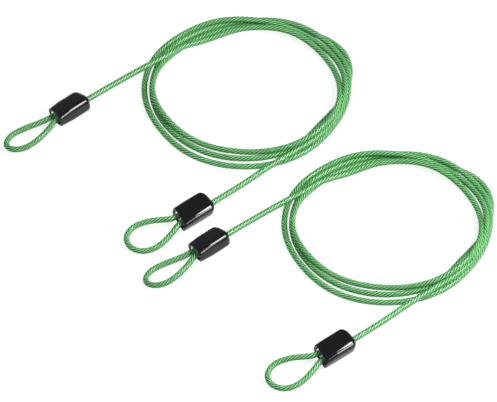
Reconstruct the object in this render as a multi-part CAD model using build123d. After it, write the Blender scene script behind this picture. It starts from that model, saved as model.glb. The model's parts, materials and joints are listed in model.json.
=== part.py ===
from build123d import *
import math
import os

# A pair of looped security cables. Each is a length of PVC-coated steel wire rope with an
# eye crimped at both ends, a moulded sleeve over each crimp, and the rest wound into a loose
# coil. All sizes are in millimetres. Z is up and the cables lie on the plane z = 0.

# Wire rope
WIRE_D = 2.6             # bare steel wire rope
WIRE_GAP = 0.05          # between wire and jacket, all round
JACKET_WALL = 0.45       # clear PVC over the wire

# Crimp ferrule: an oval aluminium barrel with two bores side by side
FERRULE_WALL = 1.5       # from a bore to the outside
FERRULE_WEB = 0.3        # between the two bores
FERRULE_LENGTH = 12.0
FERRULE_BREAK = 0.4      # chamfer round both ends
BORE_GAP = 0.05          # between cable and bore, all round
CRIMP_DEPTH = 0.35       # each crimp mark sinks this far into a flat
CRIMP_R = 2.0
CRIMP_COUNT = 2
CRIMP_PITCH = 4.6

# Sleeve moulded over the ferrule
SLEEVE_LENGTH = 22.8
SLEEVE_SIDE = 2.0        # wall beside the ferrule
SLEEVE_FLAT = 1.55       # wall over the ferrule's flats
SLEEVE_CORNER = 3.6      # radius of the section's corners
SLEEVE_NOSE = 3.5        # rounding of the end where the cable comes out
NOSE_WALL = 4.5          # solid plastic between pocket and nose
POCKET_GAP = 0.1         # between ferrule and pocket, all round
HOLE_GAP = 0.1           # between cable and its hole through the nose, all round
MOUTH_RIM = 1.2          # wall at the sides of the open mouth
MOUTH_LIP = 0.6          # wall at the flats of the open mouth
MOUTH_DEPTH = 1.3        # the ferrule sits this far inside the mouth
MOUTH_TAPER = 8.0        # length over which the sleeve flattens towards its mouth
MOUTH_SLANT = 7.0        # degrees by which the mouth leans out on the running leg's side

# Coil: the outer shape of the loose turns together
COIL_R = 62.0
COIL_CENTRE_Y = 0.5
COIL_SIDES = 9.0         # mean width of the bundle of turns at its left and right
COIL_ENDS = 14.0         # mean width at its near and far side
COIL_HOLE_X = -0.5
COIL_HOLE_Y = 3.5
COIL_LAYERS = 2.3        # height of the crossing turns, in cable diameters
COIL_ROUND = 2.4         # rounding of the coil's edges

# Where each cable's coil is centred on the ground
FIRST_CABLE_AT = (-0.3, 87.7)
SECOND_CABLE_AT = (82.3, -21.2)

# Where each sleeve's mouth lies from the coil's centre, the heading from its mouth to its
# nose, and how far it is rolled about that heading, in degrees
ENDS = {
    "1": {"mouth": (-113.5, -23.4), "heading": 41.2, "roll": 17.0},
    "2": {"mouth": (-40.3, -105.6), "heading": 39.8, "roll": -14.0},
}

# Eye loops, as corner points (sideways, down, out of the mouth). They start at the ferrule's
# mouth side with the cut tail and come back on the side that runs on to the coil.
EYE_ROUTES = {
    "1": [
        (-4.0, 0.2, 9.0), (-8.4, 0.9, 17.8), (-10.1, 1.2, 26.6), (-7.0, 2.0, 33.6),
        (-1.3, 2.6, 35.3), (4.1, 3.0, 31.7), (6.7, 2.7, 24.6), (6.7, 1.3, 15.4),
        (4.6, 0.2, 6.7),
    ],
    "2": [
        (-4.9, 0.5, 6.7), (-10.1, 2.0, 14.6), (-13.0, 3.9, 23.5), (-10.2, 4.6, 31.7),
        (-3.1, 3.9, 34.7), (4.5, 2.9, 30.7), (7.4, 2.1, 20.9), (4.9, 0.5, 8.4),
    ],
}
EYE_BEND_START = 1.5     # the legs run straight to this far outside the mouth

# Leads between the sleeves and the coil, as corner points from the coil's centre. The last
# one lies inside the coil.
LEAD_STRAIGHT = 4.0      # straight run out of the nose
LEAD_ROUTES = {
    "1": [(-74.0, 7.9, 5.7), (-61.0, 18.4, 5.2), (-50.5, 27.0, 5.0)],
    "2": [(0.5, -72.6, 3.9), (9.0, -64.8, 4.6), (14.6, -55.0, 4.6)],
}

ARC_SHARE = 0.45         # share of the shorter run that a corner's arc takes up

# Sizes that follow from the ones above
CABLE_D = WIRE_D + 2 * (WIRE_GAP + JACKET_WALL)
BORE_OFFSET = (CABLE_D + FERRULE_WEB) / 2
FERRULE_W = 2 * BORE_OFFSET + CABLE_D + 2 * FERRULE_WALL
FERRULE_T = CABLE_D + 2 * FERRULE_WALL
POCKET_W = FERRULE_W + 2 * POCKET_GAP
POCKET_T = FERRULE_T + 2 * POCKET_GAP
SLEEVE_W = POCKET_W + 2 * SLEEVE_SIDE
SLEEVE_T = POCKET_T + 2 * SLEEVE_FLAT
MOUTH_T = POCKET_T + 2 * MOUTH_LIP
FERRULE_NOSE_SIDE = MOUTH_DEPTH + FERRULE_LENGTH
MOUTH_LEAN = SLEEVE_W / 2 * math.tan(math.radians(MOUTH_SLANT))


def end_frame(end):
    """Frame at a sleeve's mouth: X sideways to the running leg, Z towards the nose."""
    heading = math.radians(end["heading"])
    roll = math.radians(end["roll"])
    rest_height = (
        SLEEVE_CORNER
        + (SLEEVE_W / 2 - SLEEVE_CORNER) * abs(math.sin(roll))
        + (SLEEVE_T / 2 - SLEEVE_CORNER) * math.cos(roll)
    )
    sideways = (
        math.sin(heading) * math.cos(roll),
        -math.cos(heading) * math.cos(roll),
        math.sin(roll),
    )
    towards_nose = (math.cos(heading), math.sin(heading), 0)
    return Plane(origin=(*end["mouth"], rest_height), x_dir=sideways, z_dir=towards_nose)


def sleeve_section(width, thickness, height):
    return Pos(0, 0, height) * RectangleRounded(width, thickness, SLEEVE_CORNER)


def make_sleeve():
    barrel = extrude(
        sleeve_section(SLEEVE_W, SLEEVE_T, MOUTH_TAPER), amount=SLEEVE_LENGTH - MOUTH_TAPER
    )
    barrel = fillet(barrel.faces().sort_by(Axis.Z)[-1].edges(), SLEEVE_NOSE)
    taper = loft([
        sleeve_section(SLEEVE_W, MOUTH_T, -MOUTH_LEAN),
        sleeve_section(SLEEVE_W, SLEEVE_T, MOUTH_TAPER),
    ])
    slant = math.radians(MOUTH_SLANT)
    mouth_face = Plane(origin=(0, 0, 0), z_dir=(math.sin(slant), 0, math.cos(slant)))
    taper = split(taper, bisect_by=mouth_face, keep=Keep.TOP)
    pocket_depth = SLEEVE_LENGTH - NOSE_WALL
    pocket = extrude(SlotOverall(POCKET_W, POCKET_T), amount=pocket_depth)
    recess = SlotOverall(SLEEVE_W - 2 * MOUTH_RIM, POCKET_T)
    mouth = extrude(Pos(0, 0, -MOUTH_LEAN) * recess, amount=MOUTH_DEPTH + MOUTH_LEAN)
    cable_hole = Pos(BORE_OFFSET, 0, SLEEVE_LENGTH) * Cylinder(
        CABLE_D / 2 + HOLE_GAP, 2 * NOSE_WALL
    )
    return barrel + taper - pocket - mouth - cable_hole


def make_ferrule():
    blank = extrude(Pos(0, 0, MOUTH_DEPTH) * SlotOverall(FERRULE_W, FERRULE_T), amount=FERRULE_LENGTH)
    ends = blank.faces().filter_by(Axis.Z).edges()
    ferrule = chamfer(ends, FERRULE_BREAK)
    for side in (-1, 1):
        bore = Pos(side * BORE_OFFSET, 0, MOUTH_DEPTH) * Circle(CABLE_D / 2 + BORE_GAP)
        ferrule -= extrude(bore, amount=FERRULE_LENGTH)
    middle = MOUTH_DEPTH + FERRULE_LENGTH / 2
    for number in range(CRIMP_COUNT):
        along = middle + (number - (CRIMP_COUNT - 1) / 2) * CRIMP_PITCH
        for side in (-1, 1):
            out = side * (FERRULE_T / 2 - CRIMP_DEPTH + CRIMP_R)
            ferrule -= Pos(0, out, along) * Rot(0, 90, 0) * Cylinder(CRIMP_R, FERRULE_W)
    return ferrule


def tangent_route(name, points):
    """Straight runs joined by arcs as large as the runs allow."""
    points = [Vector(*point) for point in points]
    radii = []
    for before, corner, after in zip(points, points[1:], points[2:]):
        turn = (corner - before).get_angle(after - corner)
        shorter = min((corner - before).length, (after - corner).length)
        radii.append(ARC_SHARE * shorter / math.tan(math.radians(turn) / 2))
    print(name, "arc radii:", ", ".join(f"{radius:.1f}" for radius in radii))
    return FilletPolyline(*points, radius=radii)


def tube_along(route, radius):
    profile = Plane(origin=route @ 0, z_dir=route % 0) * Circle(radius)
    tube = sweep(profile, path=route)
    ideal = math.pi * radius**2 * route.length
    print(f"  tube volume {tube.volume:.1f}, section times length {ideal:.1f}")
    return tube


def make_cable_run(name, points):
    """The PVC jacket and the steel wire inside it, along one route."""
    route = tangent_route(name, points)
    jacket = tube_along(route, CABLE_D / 2) - tube_along(route, WIRE_D / 2 + WIRE_GAP)
    wire = tube_along(route, WIRE_D / 2)
    return jacket, wire


def eye_points(frame, corners):
    legs_end = -EYE_BEND_START
    local = [(-BORE_OFFSET, 0, FERRULE_NOSE_SIDE), (-BORE_OFFSET, 0, legs_end)]
    local += [(sideways, down, -out) for sideways, down, out in corners]
    local += [(BORE_OFFSET, 0, legs_end), (BORE_OFFSET, 0, FERRULE_NOSE_SIDE)]
    return [frame.from_local_coords(point) for point in local]


def lead_points(frame, corners):
    local = [
        (BORE_OFFSET, 0, FERRULE_NOSE_SIDE),
        (BORE_OFFSET, 0, SLEEVE_LENGTH + LEAD_STRAIGHT),
    ]
    return [frame.from_local_coords(point) for point in local] + list(corners)


def rounded_slab(outline):
    slab = extrude(outline, amount=COIL_LAYERS * CABLE_D)
    return fillet(slab.faces().filter_by(Axis.Z).edges(), COIL_ROUND)


def make_coil():
    """The turns as one ring, and the disc inside the ring's outer surface."""
    outline = Pos(0, COIL_CENTRE_Y) * Circle(COIL_R)
    hole = Pos(COIL_HOLE_X, COIL_HOLE_Y) * Ellipse(COIL_R - COIL_SIDES, COIL_R - COIL_ENDS)
    return rounded_slab(outline - hole), rounded_slab(outline)


def make_cable():
    """Every piece of one cable, from its coil's centre. The leads end at the coil's outside."""
    coil, coil_disc = make_coil()
    pieces = {"coil": coil}
    for number, end in ENDS.items():
        frame = end_frame(end)
        pieces[f"sleeve_{number}"] = frame.location * make_sleeve()
        pieces[f"ferrule_{number}"] = frame.location * make_ferrule()
        eye_route = eye_points(frame, EYE_ROUTES[number])
        jacket, wire = make_cable_run(f"eye {number}", eye_route)
        pieces[f"eye_jacket_{number}"] = jacket
        pieces[f"eye_wire_{number}"] = wire
        lead_route = lead_points(frame, LEAD_ROUTES[number])
        jacket, wire = make_cable_run(f"lead {number}", lead_route)
        pieces[f"lead_jacket_{number}"] = jacket - coil_disc
        pieces[f"lead_wire_{number}"] = wire - coil_disc
    return pieces


os.makedirs("parts", exist_ok=True)
cable = make_cable()
for cable_name, place in (("cable_a", FIRST_CABLE_AT), ("cable_b", SECOND_CABLE_AT)):
    for piece_name, piece in cable.items():
        placed = Pos(*place, 0) * piece
        export_step(placed, f"parts/{cable_name}_{piece_name}.step")
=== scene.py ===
import json
import math

import bpy
import numpy as np
from mathutils import Matrix, Vector

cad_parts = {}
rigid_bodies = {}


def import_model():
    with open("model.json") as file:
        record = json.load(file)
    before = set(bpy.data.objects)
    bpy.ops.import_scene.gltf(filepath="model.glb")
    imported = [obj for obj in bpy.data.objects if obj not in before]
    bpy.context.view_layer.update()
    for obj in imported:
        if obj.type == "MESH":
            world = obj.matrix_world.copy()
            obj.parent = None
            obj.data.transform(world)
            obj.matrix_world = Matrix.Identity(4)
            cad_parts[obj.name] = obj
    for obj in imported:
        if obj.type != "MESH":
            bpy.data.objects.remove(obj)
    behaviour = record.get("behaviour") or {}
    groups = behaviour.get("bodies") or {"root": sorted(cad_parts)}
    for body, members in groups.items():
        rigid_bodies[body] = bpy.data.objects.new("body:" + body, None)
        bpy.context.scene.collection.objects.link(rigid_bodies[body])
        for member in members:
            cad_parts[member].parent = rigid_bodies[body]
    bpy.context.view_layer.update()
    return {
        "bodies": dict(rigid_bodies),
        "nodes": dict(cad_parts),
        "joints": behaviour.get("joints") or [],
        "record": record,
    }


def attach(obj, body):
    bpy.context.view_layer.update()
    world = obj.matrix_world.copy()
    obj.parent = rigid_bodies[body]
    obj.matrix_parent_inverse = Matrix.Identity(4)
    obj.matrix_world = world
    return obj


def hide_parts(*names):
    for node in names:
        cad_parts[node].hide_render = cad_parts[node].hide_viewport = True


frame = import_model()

# A pair of coiled wire-rope security cables with an eye and a black sleeve at both ends.
# Lengths are in metres, and MM turns the sizes below into metres.
MM = 0.001

# Wire rope: six strands laid round a core, under a clear green jacket
CABLE_D = 3.6 * MM
ROPE_D = 2.6 * MM
STRANDS = 6
STRAND_D = ROPE_D / 3        # two strands and the core lie side by side across the rope
WIRES = 6                    # fine wires round each strand
LAY_LENGTH = 15.5 * MM       # one turn of a strand round the core
ROPE_STEP = 0.82 * MM        # spacing of the sections along the rope
STRAND_SIDES = 8             # corners of a strand's section
JACKET_SIDES = 30            # and of the jacket's
JACKET_DIP = 0.14 * MM       # how far the jacket sinks between two strands

# Sleeve: the barrel, and how far its lower corner is rounded where it rests on the ground
SLEEVE_LENGTH = 22.8 * MM
SLEEVE_W = 14.7 * MM
SLEEVE_T = 9.9 * MM
SLEEVE_CORNER = 3.6 * MM
BARREL_POWER = 3.7           # between an ellipse, 2, and a rectangle
RING_POINTS = 72             # points round each ring of the sleeve

# Its nose, with the cable's hole off the middle
SLEEVE_NOSE = 3.5 * MM       # how far the nose rounds off at the top and underneath
NOSE_SIDE = 5.6 * MM         # and at its sides
NOSE_REACH = 0.7 * MM        # how far its middle stands out
NOSE_WALL = 4.5 * MM         # solid part between the pocket and the nose's end
NOSE_FLAT_ANGLE = 15.0       # the rounding starts this far round from the flat end
NOSE_STEPS = 12
HOLE_GAP = 0.1 * MM
HOLE_ROUND = 0.5 * MM

# Its mouth, where both legs of the eye come out of a shallow recess
MOUTH_T = 8.0 * MM
MOUTH_TAPER = 8.0 * MM       # length over which the barrel thins down to the mouth
MOUTH_SLANT = math.tan(math.radians(10.0))  # it leans out on the running leg's side
MOUTH_DEPTH = 1.3 * MM
MOUTH_RIM = 1.2 * MM
MOUTH_STEPS = 8
RIM_ROUND = 0.28 * MM
RIM_STEPS = 6
LIP_DEPTH = 0.3 * MM
RECESS_ROUND = 0.2 * MM

# Ferrule in its pocket: the frame's own solid is shown
POCKET_W = 10.7 * MM
POCKET_T = 6.8 * MM
FERRULE_LENGTH = 12.0 * MM
FERRULE_END = MOUTH_DEPTH + FERRULE_LENGTH  # its nose side, from the mouth
BORE_OFFSET = 1.95 * MM      # from the middle to each of its two bores

# Where each coil is centred on the ground
CABLES = {
    "cable_a": Vector((-0.3, 87.7, 0.0)) * MM,
    "cable_b": Vector((82.3, -21.2, 0.0)) * MM,
}

# Each sleeve: its mouth from the coil's centre, its heading from mouth to nose and its roll
ENDS = {
    "1": {"mouth": (-113.5, -23.4), "heading": 41.2, "roll": 17.0},
    "2": {"mouth": (-40.3, -105.6), "heading": 39.8, "roll": -14.0},
}

# Eye loops in millimetres: sideways, down, out of the mouth
EYE_ROUTES = {
    "1": [
        (-4.0, 0.2, 9.0), (-8.4, 0.9, 17.8), (-10.1, 1.2, 26.6), (-7.0, 2.0, 33.6),
        (-1.3, 2.6, 35.3), (4.1, 3.0, 31.7), (6.7, 2.7, 24.6), (6.7, 1.3, 15.4),
        (4.6, 0.2, 6.7),
    ],
    "2": [
        (-4.9, 0.5, 6.7), (-10.1, 2.0, 14.6), (-13.0, 3.9, 23.5), (-10.2, 4.6, 31.7),
        (-3.1, 3.9, 34.7), (4.5, 2.9, 30.7), (7.4, 2.1, 20.9), (4.9, 0.5, 8.4),
    ],
}
EYE_BEND_START = 1.5 * MM    # the legs are straight to this far outside the mouth

# Leads in millimetres from the coil's centre, sleeve end first
LEAD_STRAIGHT = 4.0 * MM     # each is straight to this far outside the nose
LEAD_ROUTES = {
    "1": [(-74.0, 7.9, 5.7), (-61.0, 18.4, 5.2)],
    "2": [(0.5, -72.6, 3.9), (9.0, -64.8, 4.6)],
}

# Coil: the distance of each turn from the coil's centre, in millimetres, at twelve places
# clockwise from the first one. The cable runs through them row by row.
COIL_START_ANGLE = 150.0
COIL_KNOT_ANGLE = 30.0
COIL_TURNS = [
    [54.8, 49.3, 51.9, 54.2, 54.4, 54.6, 55.8, 52.8, 47.4, 48.4, 52.3, 56.2],
    [55.0, 53.4, 54.6, 60.0, 66.4, 57.7, 49.4, 52.2, 52.7, 53.6, 54.4, 56.4],
    [57.6, 56.9, 58.0, 60.4, 62.3, 59.7, 57.0, 58.4, 59.1, 59.7, 58.8, 60.9],
    [62.2, 60.2, 56.4, 57.0, 58.6, 57.7, 56.6, 56.2],
]
LAYING_ORDER = [1, 2, 3, 0]  # which turn lies on the ground, and what was laid over it in turn
COIL_STEP_ANGLE = 10.0       # spacing of the route's points
CROSSING_START = 1.3         # a turn starts to climb this many diameters before another one
CROSSING_TOP = 0.3           # and is right on top of it within this many

# Camera: a long lens from far off, as the photo shows almost no perspective
CAMERA_ELEVATION = 47.0
VIEW_WIDTH = 0.2922          # width of the ground that the picture takes in
VIEW_CENTRE = Vector((0.3, 2.55, 0.0)) * MM
LENS = 1200.0
SENSOR = 36.0
FAR_CLIP = 50.0

# Light: direction from the middle, distance in metres, size and power in watts of each lamp
SOFTBOXES = {
    "key": ((0.80, -0.25, 0.55), 1.2, (0.5, 0.5), 8.0),
    "strip": ((0.605, -0.01, 0.797), 1.2, (0.28, 0.28), 7.0),  # the stripe along each sleeve
    "fill": ((-0.6, -0.5, 0.7), 1.6, (0.6, 0.6), 4.8),
}
WORLD_COLOUR = (0.9, 0.95, 1.0)
WORLD_STRENGTH = 0.26
FLOOR_SIZE = 12.0            # half of the ground's width
FLOOR_WHITE = 0.85           # the ground as the lamps and the object see it
FLOOR_GLOW = 0.80            # what it gives off where it is the background
FLOOR_MATTE = 0.35           # and what it reflects there, which shows the shadow

# Colours. A tint's first number is how far it lies from a strand's crown: 0.5 is the groove
# between two strands in the jacket, and the strand's inner side in the steel. The light crowns
# are painted highlight, and the dark grooves and inner sides are painted shade; in the jacket the
# grooves' deeper green is partly the thicker PVC there.
# Jacket: its own green, with a painted highlight at the crowns and painted shade over the grooves
JACKET_GREEN_AND_PAINTED_LIGHT = [
    (0.0, (0.43, 0.76, 0.44)), (0.24, (0.16, 0.48, 0.18)), (0.5, (0.004, 0.075, 0.006)),
]
JACKET_SHADOW = (0.50, 0.88, 0.52)  # light that comes through the jacket
# Strands: steel grey in between, a painted highlight at the crown and painted dark green shade on
# the inner side
STRAND_STEEL_AND_PAINTED_LIGHT = [
    (0.0, (0.92, 0.94, 0.90)), (0.13, (0.64, 0.72, 0.61)), (0.3, (0.03, 0.11, 0.035)),
]
SLEEVE_BLACK = (0.0035, 0.0032, 0.0045)
FERRULE_COLOUR = (0.80, 0.82, 0.80)


# ---------------------------------------------------------------- materials

def new_material(name):
    """A material with its nodes, its links and its Principled shader."""
    material = bpy.data.materials.new(name)
    material.use_nodes = True
    nodes = material.node_tree.nodes
    return material, nodes, material.node_tree.links, nodes["Principled BSDF"]


def math_node(nodes, links, operation, *values):
    """A math node whose inputs are numbers or other nodes' outputs."""
    node = nodes.new("ShaderNodeMath")
    node.operation = operation
    for socket, value in zip(node.inputs, values):
        if isinstance(value, (int, float)):
            socket.default_value = value
        else:
            links.new(value, socket)
    return node.outputs[0]


def lay_place(nodes, links):
    """The two shares of the lay map: across the tube, and along it in millimetres."""
    place = nodes.new("ShaderNodeUVMap")
    place.uv_map = "lay"
    parts = nodes.new("ShaderNodeSeparateXYZ")
    links.new(place.outputs["UV"], parts.inputs[0])
    return parts.outputs["X"], parts.outputs["Y"]


def colour_ramp(nodes, links, value, stops):
    """A colour that eases from stop to stop as the value rises."""
    ramp = nodes.new("ShaderNodeValToRGB")
    ramp.color_ramp.interpolation = "EASE"
    elements = ramp.color_ramp.elements
    while len(elements) < len(stops):
        elements.new(0.5)
    for element, (place, colour) in zip(elements, stops):
        element.position = place
        element.color = (*colour, 1)
    links.new(value, ramp.inputs[0])
    return ramp.outputs[0]


def add_bump(nodes, links, shader, height, strength, distance):
    bump = nodes.new("ShaderNodeBump")
    bump.inputs["Strength"].default_value = strength
    bump.inputs["Distance"].default_value = distance
    links.new(height, bump.inputs["Height"])
    links.new(bump.outputs["Normal"], shader.inputs["Normal"])


def uneven_roughness(nodes, links, shader, scale, detail, low, high):
    """Roughness between two values, in spots of noise."""
    noise = nodes.new("ShaderNodeTexNoise")
    noise.inputs["Scale"].default_value = scale
    noise.inputs["Detail"].default_value = detail
    spread = nodes.new("ShaderNodeMapRange")
    spread.inputs["To Min"].default_value = low
    spread.inputs["To Max"].default_value = high
    links.new(noise.outputs["Fac"], spread.inputs["Value"])
    links.new(spread.outputs["Result"], shader.inputs["Roughness"])


def jacket_material():
    """Clear green PVC: tinted glass that lets the lamps in, with painted shade over the grooves
    and a painted highlight over the strands' crowns.
    """
    material, nodes, links, shader = new_material("clear_green_pvc")
    shader.inputs["Transmission Weight"].default_value = 0.72
    shader.inputs["Roughness"].default_value = 0.16
    shader.inputs["IOR"].default_value = 1.28
    across, _ = lay_place(nodes, links)
    groove = math_node(nodes, links, "PINGPONG", across, 0.5)
    # painted highlight over each strand's crown, painted shade over the grooves between strands
    tint = colour_ramp(nodes, links, groove, JACKET_GREEN_AND_PAINTED_LIGHT)
    links.new(tint, shader.inputs["Base Color"])
    clear = nodes.new("ShaderNodeBsdfTransparent")
    clear.inputs["Color"].default_value = (*JACKET_SHADOW, 1)
    path = nodes.new("ShaderNodeLightPath")
    mix = nodes.new("ShaderNodeMixShader")
    links.new(path.outputs["Is Shadow Ray"], mix.inputs[0])
    links.new(shader.outputs[0], mix.inputs[1])
    links.new(clear.outputs[0], mix.inputs[2])
    links.new(mix.outputs[0], nodes["Material Output"].inputs["Surface"])
    return material


def strand_material():
    """Galvanised steel wires wound round each strand, with a painted highlight on the crown and
    painted green shade down the inner side in the grooves.
    """
    material, nodes, links, shader = new_material("galvanised_strands")
    shader.inputs["Metallic"].default_value = 0.25
    shader.inputs["Roughness"].default_value = 0.5
    across, along = lay_place(nodes, links)
    inward = math_node(nodes, links, "PINGPONG", across, 0.5)
    # painted highlight on the strand's crown, painted shade on its inner side towards the core
    tint = colour_ramp(nodes, links, inward, STRAND_STEEL_AND_PAINTED_LIGHT)
    links.new(tint, shader.inputs["Base Color"])
    wires = math_node(nodes, links, "MULTIPLY_ADD", across, 2 * math.pi * WIRES, along)
    ridge = math_node(nodes, links, "SINE", wires)
    add_bump(nodes, links, shader, ridge, 0.5, 0.06 * MM)
    return material


def sleeve_material():
    """Glossy black moulded plastic with faint handling marks."""
    material, nodes, links, shader = new_material("glossy_black_plastic")
    shader.inputs["Base Color"].default_value = (*SLEEVE_BLACK, 1)
    shader.inputs["IOR"].default_value = 1.5
    uneven_roughness(nodes, links, shader, scale=260, detail=4, low=0.04, high=0.10)
    sink = nodes.new("ShaderNodeTexNoise")
    sink.inputs["Scale"].default_value = 110
    add_bump(nodes, links, shader, sink.outputs["Fac"], 0.1, 0.1 * MM)
    return material


def ferrule_material():
    """Crimped aluminium, dulled in spots."""
    material, nodes, links, shader = new_material("crimped_aluminium")
    shader.inputs["Base Color"].default_value = (*FERRULE_COLOUR, 1)
    shader.inputs["Metallic"].default_value = 1.0
    uneven_roughness(nodes, links, shader, scale=1400, detail=2, low=0.25, high=0.50)
    return material


# ---------------------------------------------------------------- paths

def end_frame(end):
    """Matrix at a sleeve's mouth: X sideways to the running leg, Y down, Z to the nose."""
    heading, roll = math.radians(end["heading"]), math.radians(end["roll"])
    height = (
        SLEEVE_CORNER
        + (SLEEVE_W / 2 - SLEEVE_CORNER) * abs(math.sin(roll))
        + (SLEEVE_T / 2 - SLEEVE_CORNER) * math.cos(roll)
    )
    sideways = Vector((
        math.sin(heading) * math.cos(roll), -math.cos(heading) * math.cos(roll), math.sin(roll)
    ))
    nose = Vector((math.cos(heading), math.sin(heading), 0.0))
    down = nose.cross(sideways)
    mouth = Vector((end["mouth"][0] * MM, end["mouth"][1] * MM, height))
    turn = Matrix((sideways, down, nose)).transposed().to_4x4()
    return Matrix.Translation(mouth) @ turn


def nurbs_line(name, points):
    """Points read from a NURBS spline that has the route's points as control points."""
    curve = bpy.data.curves.new(name, "CURVE")
    curve.dimensions = "3D"
    curve.resolution_u = 12
    spline = curve.splines.new("NURBS")
    spline.points.add(len(points) - 1)
    for spot, point in zip(spline.points, points):
        spot.co = (*point, 1.0)
    spline.order_u = 3
    spline.use_endpoint_u = True
    holder = bpy.data.objects.new(name, curve)
    mesh = bpy.data.meshes.new_from_object(holder)
    line = np.array([vertex.co[:] for vertex in mesh.vertices])
    bpy.data.objects.remove(holder)
    bpy.data.meshes.remove(mesh)
    return line


def evenly(line, step):
    """The same line with its points a fixed step apart."""
    gaps = np.linalg.norm(np.diff(line, axis=0), axis=1)
    line = line[np.concatenate(([True], gaps > 1e-9))]
    along = np.concatenate(([0.0], np.cumsum(np.linalg.norm(np.diff(line, axis=0), axis=1))))
    count = max(2, int(round(along[-1] / step)) + 1)
    wanted = np.linspace(0.0, along[-1], count)
    return np.column_stack([np.interp(wanted, along, line[:, axis]) for axis in range(3)])


def section_frames(line):
    """Two directions across the line at every point, which turn as little as they can."""
    tangents = np.gradient(line, axis=0)
    tangents /= np.linalg.norm(tangents, axis=1)[:, None]
    across = np.cross(tangents[0], (0.0, 0.0, 1.0))
    firsts = np.empty_like(line)
    for index, tangent in enumerate(tangents):
        across = across - tangent * across.dot(tangent)
        across /= np.linalg.norm(across)
        firsts[index] = across
    return firsts, np.cross(tangents, firsts)


def eye_points(frame, corners):
    """Control points from the ferrule's nose side, round the eye and back."""
    local = [(-BORE_OFFSET, 0, FERRULE_END), (-BORE_OFFSET, 0, -EYE_BEND_START)]
    local += [(side * MM, down * MM, -out * MM) for side, down, out in corners]
    local += [(BORE_OFFSET, 0, -EYE_BEND_START), (BORE_OFFSET, 0, FERRULE_END)]
    return [frame @ Vector(point) for point in local]


def lead_points(frame, corners):
    """Control points from the ferrule's nose side, out of the sleeve and on to the coil."""
    local = [(BORE_OFFSET, 0, FERRULE_END), (BORE_OFFSET, 0, SLEEVE_LENGTH + LEAD_STRAIGHT)]
    return [frame @ Vector(point) for point in local] + [Vector(point) * MM for point in corners]


def coil_points():
    """The coil's turns, each laid on the ground or over the turns below it."""
    knots = [radius * MM for turn in COIL_TURNS for radius in turn]
    per_turn = len(COIL_TURNS[0])
    steps_per_knot = int(COIL_KNOT_ANGLE / COIL_STEP_ANGLE)
    steps_per_turn = per_turn * steps_per_knot
    radii = []
    for index in range((len(knots) - 1) * steps_per_knot + 1):
        knot, part = divmod(index / steps_per_knot, 1.0)
        near = [knots[min(max(int(knot) + shift, 0), len(knots) - 1)] for shift in (-1, 0, 1, 2)]
        radii.append(cubic(near, part))
    rest = CABLE_D / 2
    heights = [rest] * len(radii)
    for place, turn in enumerate(LAYING_ORDER):
        for index in range(turn * steps_per_turn, min((turn + 1) * steps_per_turn, len(radii))):
            for below in LAYING_ORDER[:place]:
                other = below * steps_per_turn + index % steps_per_turn
                if other < len(radii):
                    apart = abs(radii[index] - radii[other]) / CABLE_D
                    share = (apart - CROSSING_TOP) / (CROSSING_START - CROSSING_TOP)
                    on_top = math.cos(min(max(share, 0.0), 1.0) * math.pi / 2) ** 2
                    climb = (heights[other] - rest + CABLE_D) * on_top
                    heights[index] = max(heights[index], rest + climb)
    heights = smooth(heights)
    points = []
    reach = 1 / math.cos(math.radians(COIL_STEP_ANGLE) / 2)  # the spline cuts inside its points
    for index, (radius, height) in enumerate(zip(radii, heights)):
        angle = math.radians(COIL_START_ANGLE - index * COIL_STEP_ANGLE)
        out = radius * reach
        points.append(Vector((out * math.cos(angle), out * math.sin(angle), height)))
    return points


def cubic(near, part):
    """Smooth value between near[1] and near[2]."""
    before, start, end, after = near
    slope_start, slope_end = (end - before) / 2, (after - start) / 2
    rise = end - start
    return (
        start + slope_start * part + (3 * rise - 2 * slope_start - slope_end) * part**2
        + (slope_start + slope_end - 2 * rise) * part**3
    )


def smooth(values):
    """Each value drawn a little towards its neighbours, and both ends kept."""
    middle = [(a + 2 * b + c) / 4 for a, b, c in zip(values, values[1:], values[2:])]
    return [values[0]] + middle + [values[-1]]


# ---------------------------------------------------------------- meshes

def mesh_object(name, vertices, faces, material):
    """A smooth-shaded piece with one material, in the scene and in its slot."""
    mesh = bpy.data.meshes.new(name)
    mesh.from_pydata([tuple(vertex) for vertex in vertices], [], faces)
    mesh.polygons.foreach_set("use_smooth", [True] * len(mesh.polygons))
    mesh.update()
    piece = bpy.data.objects.new(name, mesh)
    bpy.context.scene.collection.objects.link(piece)
    mesh.materials.append(material)
    return piece


def band_faces(start, rings, sides, closed=False):
    """Quads between rings of points, and a cap at both ends of an open row of rings."""
    faces = []
    for ring in range(rings if closed else rings - 1):
        here = start + ring * sides
        ahead = start + (ring + 1) % rings * sides
        for side in range(sides):
            beside = (side + 1) % sides
            faces.append((here + side, here + beside, ahead + beside, ahead + side))
    if not closed:
        faces.append(tuple(range(start + sides - 1, start - 1, -1)))
        last = start + (rings - 1) * sides
        faces.append(tuple(range(last, last + sides)))
    return faces


def tube_points(line, firsts, seconds, radius, sides):
    """Rings of points round a line, one ring after the other."""
    angles = np.linspace(0.0, 2 * math.pi, sides, endpoint=False)
    rings = (
        line[:, None, :]
        + radius * np.cos(angles)[None, :, None] * firsts[:, None, :]
        + radius * np.sin(angles)[None, :, None] * seconds[:, None, :]
    )
    return rings.reshape(-1, 3)


def rope_sections(line):
    """Sections along the rope: centres, two directions across, and turns of the lay so far."""
    line = evenly(line, ROPE_STEP)
    firsts, seconds = section_frames(line)
    return line, firsts, seconds, np.arange(len(line)) * ROPE_STEP / LAY_LENGTH


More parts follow.
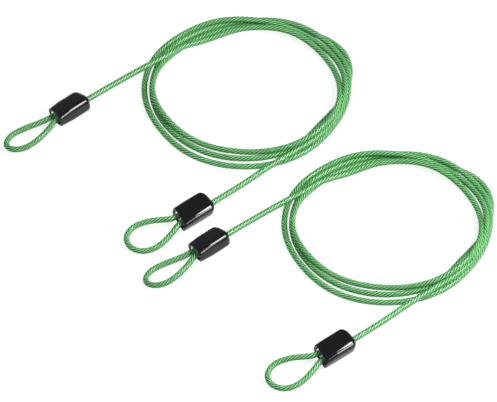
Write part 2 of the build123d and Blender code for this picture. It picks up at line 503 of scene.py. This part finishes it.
def make_jacket(name, rope, material):
    """The jacket's skin, which sinks a little between the strands under it."""
    line, firsts, seconds, turns = rope
    shares = np.linspace(0.0, 1.0, JACKET_SIDES, endpoint=False)
    across_strand = STRANDS * (shares[None, :] + turns[:, None])  # whole on top of a strand
    radii = CABLE_D / 2 - JACKET_DIP * np.sin(np.pi * across_strand) ** 2
    rings = (
        line[:, None, :]
        + (radii * np.cos(2 * math.pi * shares))[:, :, None] * firsts[:, None, :]
        + (radii * np.sin(2 * math.pi * shares))[:, :, None] * seconds[:, None, :]
    )
    faces = band_faces(0, len(line), JACKET_SIDES)
    piece = mesh_object(name, rings.reshape(-1, 3), faces, material)
    around = np.arange(JACKET_SIDES + 1) / JACKET_SIDES
    add_lay_map(piece, [(STRANDS * (around[None, :] + turns[:, None]), turns * LAY_LENGTH / MM)])
    return piece


def make_strands(name, rope, material):
    """Six strands round a core, left-hand laid."""
    line, firsts, seconds, turns = rope
    vertices, faces, maps = [], [], []
    around = np.arange(STRAND_SIDES + 1) / STRAND_SIDES
    for strand in range(STRANDS + 1):
        if strand == STRANDS:
            centre, outward, sideways = line, firsts, seconds
        else:
            angle = -2 * math.pi * (turns + strand / STRANDS)
            outward = np.cos(angle)[:, None] * firsts + np.sin(angle)[:, None] * seconds
            centre = line + STRAND_D * outward
            tangents = np.gradient(centre, axis=0)
            tangents /= np.linalg.norm(tangents, axis=1)[:, None]
            sideways = np.cross(tangents, outward)
            sideways /= np.linalg.norm(sideways, axis=1)[:, None]
        start = len(vertices)
        vertices.extend(tube_points(centre, outward, sideways, STRAND_D / 2, STRAND_SIDES))
        faces.extend(band_faces(start, len(line), STRAND_SIDES))
        maps.append((np.repeat(around[None, :], len(line), axis=0), turns * LAY_LENGTH / MM))
    piece = mesh_object(name, vertices, faces, material)
    add_lay_map(piece, maps)
    return piece


def add_lay_map(piece, tubes):
    """A UV map for each tube: across it by its own shares, and along it in millimetres."""
    places = []
    for across, along in tubes:
        rings, sides = across.shape[0], across.shape[1] - 1
        height = np.repeat(along[:, None], sides + 1, axis=1)
        grid = np.stack((across, height), axis=2)
        quads = np.stack((grid[:-1, :-1], grid[:-1, 1:], grid[1:, 1:], grid[1:, :-1]), axis=2)
        places.append(quads.reshape(-1, 2))
        places.append(np.full((2 * sides, 2), grid[0, 0]))
    layer = piece.data.uv_layers.new(name="lay")
    layer.data.foreach_set("uv", np.concatenate(places).ravel())


def rounded_ring(width, thickness, corner, height, centre=0.0, lean=0.0):
    """Points round a rounded rectangle across the sleeve's axis, tipped out towards +X."""
    corner = min(corner, width / 2, thickness / 2)
    points = []
    for index in range(RING_POINTS):
        angle = 2 * math.pi * index / RING_POINTS
        quarter = math.pi / 2
        sign_x = 1 if angle < quarter or angle >= 3 * quarter else -1
        sign_y = 1 if angle < 2 * quarter else -1
        x = centre + sign_x * (width / 2 - corner) + corner * math.cos(angle)
        y = sign_y * (thickness / 2 - corner) + corner * math.sin(angle)
        points.append((x, y, height - lean * x))
    return points


def barrel_ring(width, thickness, height, lean=0.0):
    """Points round the sleeve's crowned outer section, tipped out towards +X."""
    points = []
    for index in range(RING_POINTS):
        angle = 2 * math.pi * index / RING_POINTS
        across, up = math.cos(angle), math.sin(angle)
        x = math.copysign(width / 2 * abs(across) ** (2 / BARREL_POWER), across)
        y = math.copysign(thickness / 2 * abs(up) ** (2 / BARREL_POWER), up)
        points.append((x, y, height - lean * x))
    return points


def make_sleeve(name, frame, material):
    """One closed skin: cable hole, nose, barrel, mouth rim, recess and ferrule pocket."""
    hole = CABLE_D + 2 * HOLE_GAP
    rim = hole + HOLE_ROUND
    nose_inside = SLEEVE_LENGTH - NOSE_WALL
    nose_end = SLEEVE_LENGTH + NOSE_REACH
    nose_depth = SLEEVE_NOSE + NOSE_REACH
    rim_height = nose_end - nose_depth * (1 - math.cos(math.radians(NOSE_FLAT_ANGLE)))
    rings = [
        rounded_ring(hole, hole, hole, nose_inside, BORE_OFFSET),
        rounded_ring(hole, hole, hole, nose_end - HOLE_ROUND, BORE_OFFSET),
        rounded_ring(rim, rim, rim, rim_height, BORE_OFFSET),
    ]
    for step in range(NOSE_STEPS + 1):
        angle = math.radians(NOSE_FLAT_ANGLE + (90 - NOSE_FLAT_ANGLE) * step / NOSE_STEPS)
        inset = SLEEVE_NOSE * (1 - math.sin(angle))
        side_inset = NOSE_SIDE * (1 - math.sin(angle))
        height = nose_end - nose_depth * (1 - math.cos(angle))
        rings.append(barrel_ring(SLEEVE_W - 2 * side_inset, SLEEVE_T - 2 * inset, height))
    for step in range(MOUTH_STEPS + 1):
        share = step / MOUTH_STEPS
        height = MOUTH_TAPER * (1 - share) + RIM_ROUND * share
        thickness = SLEEVE_T + (MOUTH_T - SLEEVE_T) * share
        rings.append(barrel_ring(SLEEVE_W, thickness, height, MOUTH_SLANT * share))
    for step in range(1, RIM_STEPS + 1):
        angle = math.radians(180 * step / RIM_STEPS)
        inset = RIM_ROUND * (1 - math.cos(angle))
        height = RIM_ROUND * (1 - math.sin(angle))
        rings.append(barrel_ring(SLEEVE_W - 2 * inset, MOUTH_T - 2 * inset, height, MOUTH_SLANT))
    opening = SLEEVE_W - 2 * MOUTH_RIM
    bottom = opening - 2 * RECESS_ROUND
    rings += [
        rounded_ring(opening, POCKET_T, POCKET_T, LIP_DEPTH, lean=MOUTH_SLANT),
        rounded_ring(opening, POCKET_T, POCKET_T, MOUTH_DEPTH - RECESS_ROUND),
        rounded_ring(bottom, POCKET_T, POCKET_T, MOUTH_DEPTH),
        rounded_ring(POCKET_W, POCKET_T, POCKET_T, MOUTH_DEPTH),
        rounded_ring(POCKET_W, POCKET_T, POCKET_T, nose_inside),
    ]
    vertices = [frame @ Vector(point) for ring in rings for point in ring]
    faces = band_faces(0, len(rings), RING_POINTS, closed=True)
    return mesh_object(name, vertices, faces, material)


# ---------------------------------------------------------------- the two cables

def dress_cable(cable, place, materials):
    """Both ends of one cable, and the rope from sleeve to sleeve through its coil."""
    frames = {
        number: Matrix.Translation(place) @ end_frame(end) for number, end in ENDS.items()
    }
    for number, eye_frame in frames.items():
        make_end(cable, number, eye_frame, materials)
    route = lead_points(end_frame(ENDS["1"]), LEAD_ROUTES["1"]) + coil_points()
    route += reversed(lead_points(end_frame(ENDS["2"]), LEAD_ROUTES["2"]))
    line = nurbs_line(f"{cable}_route", [point + place for point in route])
    rope = rope_sections(line)
    jacket = make_jacket(f"{cable}_rope_jacket", rope, materials["jacket"])
    strands = make_strands(f"{cable}_rope_strands", rope, materials["strands"])
    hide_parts(f"{cable}_coil", f"{cable}_lead_jacket_1", f"{cable}_lead_jacket_2")
    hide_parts(f"{cable}_lead_wire_1", f"{cable}_lead_wire_2")
    for piece in (jacket, strands):
        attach(piece, cable)


def make_end(cable, number, frame, materials):
    """A sleeve, the eye loop that comes out of its mouth, and the ferrule's material."""
    sleeve = make_sleeve(f"{cable}_end_sleeve_{number}", frame, materials["sleeve"])
    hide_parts(f"{cable}_sleeve_{number}")
    line = nurbs_line(f"{cable}_eye_route_{number}", eye_points(frame, EYE_ROUTES[number]))
    rope = rope_sections(line)
    jacket = make_jacket(f"{cable}_eye_loop_{number}", rope, materials["jacket"])
    strands = make_strands(f"{cable}_eye_strands_{number}", rope, materials["strands"])
    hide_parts(f"{cable}_eye_jacket_{number}")
    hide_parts(f"{cable}_eye_wire_{number}")
    for piece in (sleeve, jacket, strands):
        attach(piece, cable)
    ferrule = bpy.data.objects[f"{cable}_ferrule_{number}"]
    for index in range(len(ferrule.material_slots)):
        ferrule.material_slots[index].material = materials["ferrule"]


# ---------------------------------------------------------------- scene

def make_floor():
    """White ground that shows white to the camera and in reflections, with a faint shadow."""
    mesh = bpy.data.meshes.new("floor")
    signs = ((-1, -1), (1, -1), (1, 1), (-1, 1))
    corners = [(FLOOR_SIZE * x, FLOOR_SIZE * y, 0) for x, y in signs]
    mesh.from_pydata(corners, [], [(0, 1, 2, 3)])
    floor = bpy.data.objects.new("floor", mesh)
    bpy.context.scene.collection.objects.link(floor)
    material, nodes, links, shader = new_material("white_ground")
    nodes.remove(shader)
    matte = nodes.new("ShaderNodeBsdfDiffuse")
    matte.inputs["Color"].default_value = (FLOOR_MATTE, FLOOR_MATTE, FLOOR_MATTE, 1)
    glow = nodes.new("ShaderNodeEmission")
    glow.inputs["Color"].default_value = (FLOOR_GLOW, FLOOR_GLOW, FLOOR_GLOW, 1)
    add = nodes.new("ShaderNodeAddShader")
    links.new(matte.outputs[0], add.inputs[0])
    links.new(glow.outputs[0], add.inputs[1])
    white = nodes.new("ShaderNodeBsdfDiffuse")
    white.inputs["Color"].default_value = (FLOOR_WHITE, FLOOR_WHITE, FLOOR_WHITE, 1)
    mix = nodes.new("ShaderNodeMixShader")
    links.new(sees_background(nodes, links), mix.inputs[0])
    links.new(white.outputs[0], mix.inputs[1])
    links.new(add.outputs[0], mix.inputs[2])
    links.new(mix.outputs[0], nodes["Material Output"].inputs["Surface"])
    mesh.materials.append(material)


def sees_background(nodes, links):
    """1 for camera, glossy and transmission rays."""
    path = nodes.new("ShaderNodeLightPath")
    total = path.outputs["Is Camera Ray"]
    for ray in ("Is Glossy Ray", "Is Transmission Ray"):
        total = math_node(nodes, links, "MAXIMUM", total, path.outputs[ray])
    return total


def make_world():
    """Even fill light. The ground covers the whole view, so the world is only seen by mirrors."""
    world = bpy.data.worlds.new("studio")
    world.use_nodes = True
    fill = world.node_tree.nodes["Background"]
    fill.inputs["Color"].default_value = (*WORLD_COLOUR, 1)
    fill.inputs["Strength"].default_value = WORLD_STRENGTH
    bpy.context.scene.world = world


def add_softbox(name, direction, distance, size, energy):
    """A rectangular lamp in that direction from the middle, which it faces."""
    light = bpy.data.lights.new(name, "AREA")
    light.shape = "RECTANGLE"
    light.size, light.size_y = size
    light.energy = energy
    lamp = bpy.data.objects.new(name, light)
    direction = Vector(direction).normalized()
    lamp.location = direction * distance
    lamp.rotation_euler = direction.to_track_quat("Z", "Y").to_euler()
    bpy.context.scene.collection.objects.link(lamp)


def make_camera():
    camera = bpy.data.cameras.new("camera")
    camera.lens = LENS
    camera.sensor_width = SENSOR
    camera.clip_end = FAR_CLIP
    holder = bpy.data.objects.new("camera", camera)
    elevation = math.radians(CAMERA_ELEVATION)
    away = Vector((0.0, -math.cos(elevation), math.sin(elevation)))
    holder.location = VIEW_CENTRE + away * (VIEW_WIDTH * LENS / SENSOR)
    holder.rotation_euler = away.to_track_quat("Z", "Y").to_euler()
    bpy.context.scene.collection.objects.link(holder)
    bpy.context.scene.camera = holder


def main():
    materials = {
        "jacket": jacket_material(),
        "strands": strand_material(),
        "sleeve": sleeve_material(),
        "ferrule": ferrule_material(),
    }
    for cable, place in CABLES.items():
        dress_cable(cable, place, materials)
    make_floor()
    make_world()
    for name, lamp in SOFTBOXES.items():
        add_softbox(name, *lamp)
    make_camera()
    bpy.context.scene.view_settings.view_transform = "Standard"


main()
